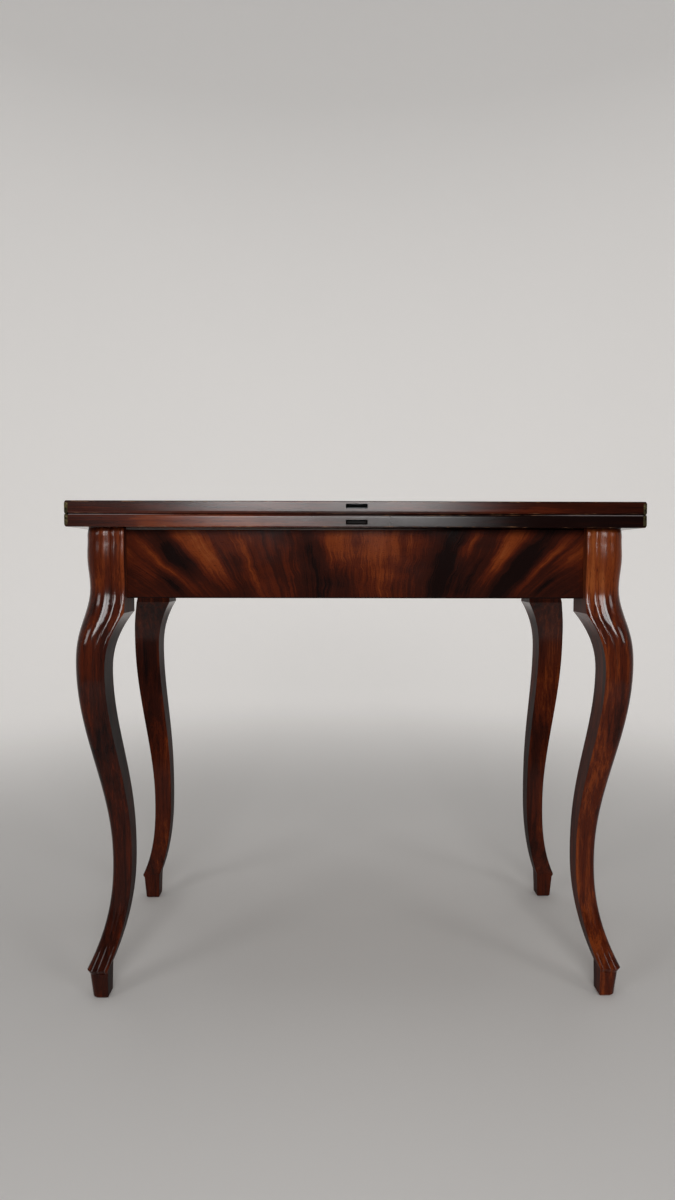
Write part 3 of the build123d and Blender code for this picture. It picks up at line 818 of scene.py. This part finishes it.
def felt_points(low, high, shown_up):
    # A grid just inside the solid's face, with shallow dents and its cut edge turned in a little
    random_source = random.Random(felt_seed + (0 if shown_up else 1))
    dents = [
        [random_source.uniform(-1, 1) for _ in range(felt_rows // dent_squares + spare_dents)]
        for _ in range(felt_columns // dent_squares + spare_dents)
    ]
    points = []
    for column in range(felt_columns + 1):
        for row in range(felt_rows + 1):
            x, y = rounded_place(low, high, column / felt_columns, row / felt_rows)
            from_edge = min(column, row, felt_columns - column, felt_rows - row)
            sunk = felt_edge_drop if from_edge == 0 else 0
            dent = dents[column // dent_squares][row // dent_squares] * felt_dent if from_edge > 1 else 0
            depth = felt_clearance + sunk + max(0, dent)
            points.append((x, y, high.z - depth if shown_up else low.z + depth))
    return points


def felt_faces(shown_up):
    faces = []
    for column in range(felt_columns):
        for row in range(felt_rows):
            corner = column * (felt_rows + 1) + row
            face = (corner, corner + felt_rows + 1, corner + felt_rows + 2, corner + 1)
            faces.append(face if shown_up else tuple(reversed(face)))
    return faces


def make_felt(node, body, material):
    # One cloth glued into the leaf's inset, nearly flat
    low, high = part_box(node)
    shown_up = body == "lower_top"
    felt = add_mesh(node + "_felt", felt_points(low, high, shown_up), felt_faces(shown_up), material)
    subdivision = felt.modifiers.new("even", "SUBSURF")
    subdivision.levels = 1
    subdivision.render_levels = 1
    solid = felt.modifiers.new("thickness", "SOLIDIFY")
    solid.thickness = high.z - low.z - felt_edge_drop - felt_clearance - felt_dent
    solid.offset = -1
    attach(felt, body)
    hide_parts(node)


# Veneers: side, axis that the rail runs along, its marks, shift of the grain, and -1 where it is mirrored
veneers = (
    ("front", "X", front_marks, (0, 0, 0), 1),
    ("back", "X", front_marks, (0, 5, 0), -1),
    ("left", "Y", side_marks, (3, 0, 0), 1),
    ("right", "Y", side_marks, (7, 0, 0), -1),
)

# Raw woods: name, axis of the grain, dark and light colour, roughness, and the pieces made of it
raw_woods = (
    ("pine_long", "X", pine_dark, pine_light, pine_roughness,
     ("rail_front", "rail_back", "well_bottom", "well_runner_front", "well_runner_back")),
    ("pine_cross", "Y", pine_dark, pine_light, pine_roughness,
     ("rail_left", "rail_right", "well_partition", "well_runner_left", "well_runner_right")),
    ("pine_upright", "Z", pine_dark, pine_light, pine_roughness, ("glue_blocks",)),
    ("beech_cross", "Y", beech_dark, beech_light, beech_roughness, ("pivot_rail",)),
    # The tongue is painted near black as painted shade, for the slot that it sits back in
    ("tongue_painted_shade", "Y", grime_and_painted_shade, wood_black, beech_roughness, ("alignment_tongue",)),
    ("beech_upright", "Z", beech_dark, beech_light, beech_roughness, ("stop_peg",)),
)

# Metal pieces
brass_pieces = (
    "hinge_strap_lower_left", "hinge_strap_lower_right", "hinge_strap_upper_left", "hinge_strap_upper_right",
    "hinge_link_left", "hinge_link_right", "lower_hinge_pins", "upper_hinge_pins",
    "bearing_plate", "bearing_plate_screws",
)
iron_pieces = (
    "pivot_plate", "pivot_plate_screws", "pivot_bolt", "pivot_washer", "pivot_nut",
    "lower_strap_screws", "upper_strap_screws",
)


def dress(material, *names):
    for name in names:
        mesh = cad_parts[name].data
        mesh.materials.clear()
        mesh.materials.append(material)


def dress_legs():
    for index, (name, level) in enumerate(leg_levels.items()):
        low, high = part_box(name)
        inward_x = -math.copysign(1, low.x + high.x)
        inward_y = -math.copysign(1, low.y + high.y)
        offset = tuple(step * index for step in leg_grain_step)
        dress(leg_wood(name + "_wood", offset, level, inward_x, inward_y), name)


def dress_leaves():
    upper_wood = leaf_wood(
        "upper_leaf_wood", upper_grain_shift, upper_shades, upper_low, upper_high, upper_line_amount
    )
    lower_wood = leaf_wood(
        "lower_leaf_wood", lower_grain_shift, lower_shades, lower_low, lower_high, lower_line_amount
    )
    dress(upper_wood, "upper_leaf")
    dress(lower_wood, "lower_leaf")


def dress_veneers():
    for side, run_axis, marks, shift, mirror in veneers:
        dress(flame_veneer("flame_" + side, run_axis, marks, shift, mirror), "veneer_" + side)


def dress_raw_wood():
    for name, axis, dark, light, roughness, pieces in raw_woods:
        dress(raw_wood(name, axis, dark, light, roughness), *pieces)


def dress_metal():
    dress(old_brass(), *brass_pieces)
    dress(dark_iron(), *iron_pieces)


def dress_cloth():
    baize = green_baize()
    dress(baize, "lower_baize", "upper_baize")
    make_felt("lower_baize", "lower_top", baize)
    make_felt("upper_baize", "upper_top", baize)


def studio_paint():
    # Pale paint; the far wall shows a little brighter to the eye and in reflections
    material, tree, shader = new_material("studio_paint")
    point = object_point(tree)
    mottle = noise(tree, point, mottle_cells, detail=4)
    colour = mix(tree, spread(tree, mottle, *mottle_fade), floor_colour, wall_mottle)
    tree.links.new(colour, shader.inputs["Base Color"])
    shader.inputs["Roughness"].default_value = paint_roughness
    shader.inputs["Specular IOR Level"].default_value = paint_shine
    tree.links.new(colour, shader.inputs["Emission Color"])
    tree.links.new(paint_glow(tree, point), shader.inputs["Emission Strength"])
    return material


def paint_glow(tree, point):
    # Nothing near the table, most on the wall behind it, and a quarter of that at the sides and in front
    path = tree.nodes.new("ShaderNodeLightPath")
    seen = calculate(tree, "ADD", path.outputs["Is Camera Ray"], path.outputs["Is Glossy Ray"])
    seen = calculate(tree, "ADD", seen, path.outputs["Is Transmission Ray"], clamp=True)
    x, y, z = axes(tree, point)
    square = calculate(tree, "MULTIPLY_ADD", x, x, calculate(tree, "MULTIPLY", y, y))
    distance = calculate(tree, "SQRT", square)
    far = spread(tree, distance, *glow_distance_fade)
    turned = calculate(tree, "DIVIDE", y, calculate(tree, "MAXIMUM", distance, least_distance))
    behind = spread(tree, turned, *glow_behind_fade)
    share = calculate(tree, "MULTIPLY", seen, calculate(tree, "MULTIPLY", far, behind))
    return calculate(tree, "MULTIPLY", share, wall_glow)


def stage_profile():
    flat = wall_radius - cove_radius
    profile = [(flat, 0)]
    for step in range(1, cove_steps + 1):
        angle = math.radians(90 * step / cove_steps)
        profile.append((flat + cove_radius * math.sin(angle), cove_radius * (1 - math.cos(angle))))
    profile.append((wall_radius, wall_height))
    return profile


def stage_points(profile):
    points = [(0, 0, 0)]
    for radius, height in profile:
        for side in range(stage_sides):
            turn = 2 * math.pi * side / stage_sides
            points.append((radius * math.sin(turn), radius * math.cos(turn), height))
    return points


def stage_faces(rings):
    # The floor's fan, then the bands of the wall where it stands
    faces = [(0, 1 + (side + 1) % stage_sides, 1 + side) for side in range(stage_sides)]
    for ring in range(rings - 1):
        low = 1 + ring * stage_sides
        high = low + stage_sides
        for side in range(stage_sides):
            turn = 360 * (side + 0.5) / stage_sides
            if min(turn, 360 - turn) <= wall_half_turn:
                following = (side + 1) % stage_sides
                faces.append((low + side, low + following, high + following, high + side))
    return faces


def make_stage():
    profile = stage_profile()
    add_mesh("studio", stage_points(profile), stage_faces(len(profile)), studio_paint())


def add_lamp(name, place, target, width, height, radiance, spread_angle):
    # Radiance is what the lamp shows straight ahead;
    # a narrower spread keeps its light off the floor near it
    lamp = bpy.data.lights.new(name, "AREA")
    lamp.shape = "RECTANGLE"
    lamp.size = width
    lamp.size_y = height
    lamp.spread = math.radians(spread_angle)
    half_spread = lamp.spread / 2
    narrowing = 1 if spread_angle == open_spread else 1 - half_spread / math.tan(half_spread)
    lamp.energy = radiance * math.pi * width * height * narrowing
    holder = add_object(name, lamp)
    holder.location = place
    direction = Vector(target) - Vector(place)
    holder.rotation_euler = direction.to_track_quat("-Z", "Y").to_euler()
    holder.visible_camera = False


def make_light():
    # A high window of two panes in front, one more far out at each side, and soft light from above
    for lamp in lamps:
        add_lamp(*lamp)
    world = bpy.data.worlds.new("studio_air")
    world.use_nodes = True
    background = world.node_tree.nodes["Background"]
    background.inputs["Color"].default_value = (1, 1, 1, 1)
    background.inputs["Strength"].default_value = air_strength
    bpy.context.scene.world = world


def make_camera():
    camera = bpy.data.cameras.new("camera")
    camera.sensor_width = sensor_long_side
    camera.lens = sensor_long_side * focal_pixels / photo_height
    camera.clip_start = camera_near
    camera.clip_end = camera_far
    holder = add_object("camera", camera)
    turn = Matrix.Rotation(-camera_yaw, 4, "Z") @ Matrix.Rotation(math.pi / 2 - camera_pitch, 4, "X")
    turn = turn @ Matrix.Rotation(camera_roll, 4, "Z")
    holder.matrix_world = Matrix.Translation(camera_place) @ turn
    bpy.context.scene.camera = holder


bpy.context.scene.view_settings.view_transform = "Standard"
make_camera()
dress_metal()
dress_legs()
dress_leaves()
dress_veneers()
dress_raw_wood()
dress_cloth()
make_stage()
make_light()
